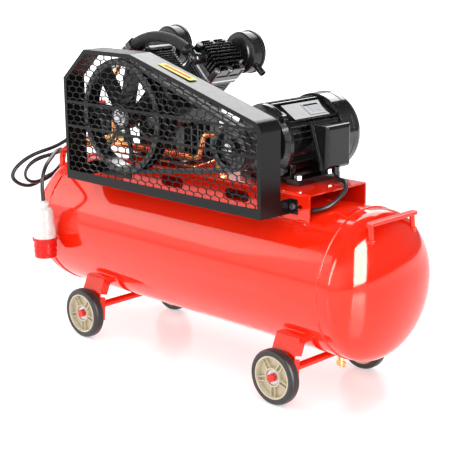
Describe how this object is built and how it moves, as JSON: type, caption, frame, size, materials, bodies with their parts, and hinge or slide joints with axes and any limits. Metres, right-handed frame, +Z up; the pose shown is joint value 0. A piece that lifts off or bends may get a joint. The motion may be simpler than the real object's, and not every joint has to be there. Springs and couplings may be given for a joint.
{
  "type": "air compressor",
  "caption": "Wheeled air compressor: horizontal tank with a belt-driven V pump, electric motor, mesh belt guard, controls, handles and a mains lead.",
  "frame": {"origin": "on the floor, under the centre of the whole machine's footprint", "axes": "+X along the tank towards the motor end, the belt guard faces -Y, +Z up"},
  "size_m": [1.1902, 0.421, 0.8],
  "materials": {
    "red_paint": "gloss",
    "black_paint": "gloss",
    "guard_black": "satin",
    "tyre": "matt",
    "hub_plastic": "satin",
    "zinc": "zinc plated",
    "red_bolt": "gloss",
    "brass": "satin",
    "copper": "satin copper",
    "cast_black": "gloss black enamel",
    "aluminium": "machined",
    "aluminium_black": "black enamel",
    "steel": "machined",
    "winding": "laminations and windings",
    "black_plastic": "satin",
    "filter_black": "satin",
    "foam": "open foam",
    "sight_glass": "clear amber",
    "belt_rubber": "matt",
    "label": "satin",
    "cable": "satin",
    "plug_white": "satin",
    "gauge": "satin"
  },
  "bodies": {
    "machine": {"air_filters": "filter_black", "air_manifold": "brass", "axle_bolts": "red_bolt", "axle_nuts_washers": "zinc", "check_valve": "brass", "connecting_rods": "aluminium", "copper_pipes": "copper", "crankcase": "cast_black", "crankcase_cover": "cast_black", "crossover_fittings": "black_paint", "crossover_pipe": "black_paint", "cylinder_heads": "aluminium_black", "cylinders": "cast_black", "drain_valve_body": "brass", "fan_cover": "black_paint", "filter_elements": "foam", "guard_frame": "guard_black", "guard_mesh": "guard_black", "head_bolts": "zinc", "machine_bolts": "zinc", "machine_platform": "red_paint", "motor_end_shields": "cast_black", "motor_frame": "aluminium_black", "motor_nameplate": "label", "oil_filler_plug": "black_plastic", "oil_sight_glass": "sight_glass", "power_cables": "cable", "power_plug": "plug_white", "pressure_gauges": "gauge", "pressure_switch": "black_plastic", "shaft_bearings": "steel", "stator": "winding", "tank_ends": "red_paint", "tank_handles": "red_paint", "tank_shell": "red_paint", "terminal_box": "black_plastic", "v_belts": "belt_rubber", "valve_plates": "steel", "wheel_brackets": "red_paint"},
    "wheel_front_left": {"tyre_front_left": "tyre", "hub_front_left": "hub_plastic"},
    "wheel_front_right": {"tyre_front_right": "tyre", "hub_front_right": "hub_plastic"},
    "wheel_rear_left": {"tyre_rear_left": "tyre", "hub_rear_left": "hub_plastic"},
    "wheel_rear_right": {"tyre_rear_right": "tyre", "hub_rear_right": "hub_plastic"},
    "crank": {"crankshaft": "steel", "flywheel": "cast_black"},
    "rotor": {"rotor_shaft": "steel", "motor_pulley": "cast_black"},
    "piston_left_body": {"piston_left": "aluminium"},
    "piston_right_body": {"piston_right": "aluminium"},
    "drain_tap": {"drain_valve_tap": "brass"},
    "on_off_knob": {"switch_knob": "red_bolt"},
    "tank_needle": {"gauge_needle_tank": "red_bolt"},
    "line_needle": {"gauge_needle_line": "red_bolt"},
    "pressure_knob": {"regulator_knob": "black_plastic"},
    "outlet_handle": {"outlet_lever": "red_bolt"},
    "relief_ring": {"safety_valve_ring": "steel"}
  },
  "joints": [
    {"name": "wheel_front_left_spin", "type": "hinge", "parent": "machine", "child": "wheel_front_left", "pos_m": [-0.32049, -0.125, 0.065], "axis": [0, 1, 0], "continuous": true},
    {"name": "wheel_front_right_spin", "type": "hinge", "parent": "machine", "child": "wheel_front_right", "pos_m": [0.35671, -0.125, 0.065], "axis": [0, 1, 0], "continuous": true},
    {"name": "wheel_rear_left_spin", "type": "hinge", "parent": "machine", "child": "wheel_rear_left", "pos_m": [-0.32049, 0.19, 0.065], "axis": [0, 1, 0], "continuous": true},
    {"name": "wheel_rear_right_spin", "type": "hinge", "parent": "machine", "child": "wheel_rear_right", "pos_m": [0.35671, 0.19, 0.065], "axis": [0, 1, 0], "continuous": true},
    {"name": "crank_spin", "type": "hinge", "parent": "machine", "child": "crank", "pos_m": [-0.13049, 0.0325, 0.605], "axis": [0, 1, 0], "continuous": true, "deforming": ["connecting_rods"]},
    {"name": "rotor_spin", "type": "hinge", "parent": "machine", "child": "rotor", "pos_m": [0.23511, 0.0325, 0.572], "axis": [0, 1, 0], "continuous": true},
    {"name": "piston_left_slide", "type": "slide", "parent": "machine", "child": "piston_left_body", "axis": [-0.7071, 0, 0.7071], "range_m": [-0.03479, 0.00717], "deforming": ["connecting_rods"]},
    {"name": "piston_right_slide", "type": "slide", "parent": "machine", "child": "piston_right_body", "axis": [0.7071, 0, 0.7071], "range_m": [-0.03479, 0.00717], "deforming": ["connecting_rods"]},
    {"name": "drain_tap_turn", "type": "hinge", "parent": "machine", "child": "drain_tap", "pos_m": [0.41811, 0.0325, 0.078], "axis": [0, 0, 1], "range_deg": [0, 360]},
    {"name": "on_off_pull", "type": "slide", "parent": "machine", "child": "on_off_knob", "axis": [0, 0, 1], "range_m": [0, 0.008]},
    {"name": "tank_needle_turn", "type": "hinge", "parent": "machine", "child": "tank_needle", "pos_m": [-0.45189, 0.0325, 0.49], "axis": [1, 0, 0], "range_deg": [0, 270]},
    {"name": "line_needle_turn", "type": "hinge", "parent": "machine", "child": "line_needle", "pos_m": [-0.41189, 0.0765, 0.532], "axis": [0, -1, 0], "range_deg": [0, 270]},
    {"name": "regulator_turn", "type": "hinge", "parent": "machine", "child": "pressure_knob", "pos_m": [-0.41189, 0.1025, 0.49], "axis": [0, 1, 0], "range_deg": [-360, 360]},
    {"name": "outlet_lever_turn", "type": "hinge", "parent": "machine", "child": "outlet_handle", "pos_m": [-0.41189, -0.0075, 0.49], "axis": [0, 0, 1], "range_deg": [-90, 0]},
    {"name": "relief_ring_pull", "type": "slide", "parent": "machine", "child": "relief_ring", "axis": [1, 0, 0], "range_m": [0, 0.004]}
  ],
  "couplings": [
    {"joint": "rotor_spin", "follows": "crank_spin", "ratio": 2.5}
  ]
}
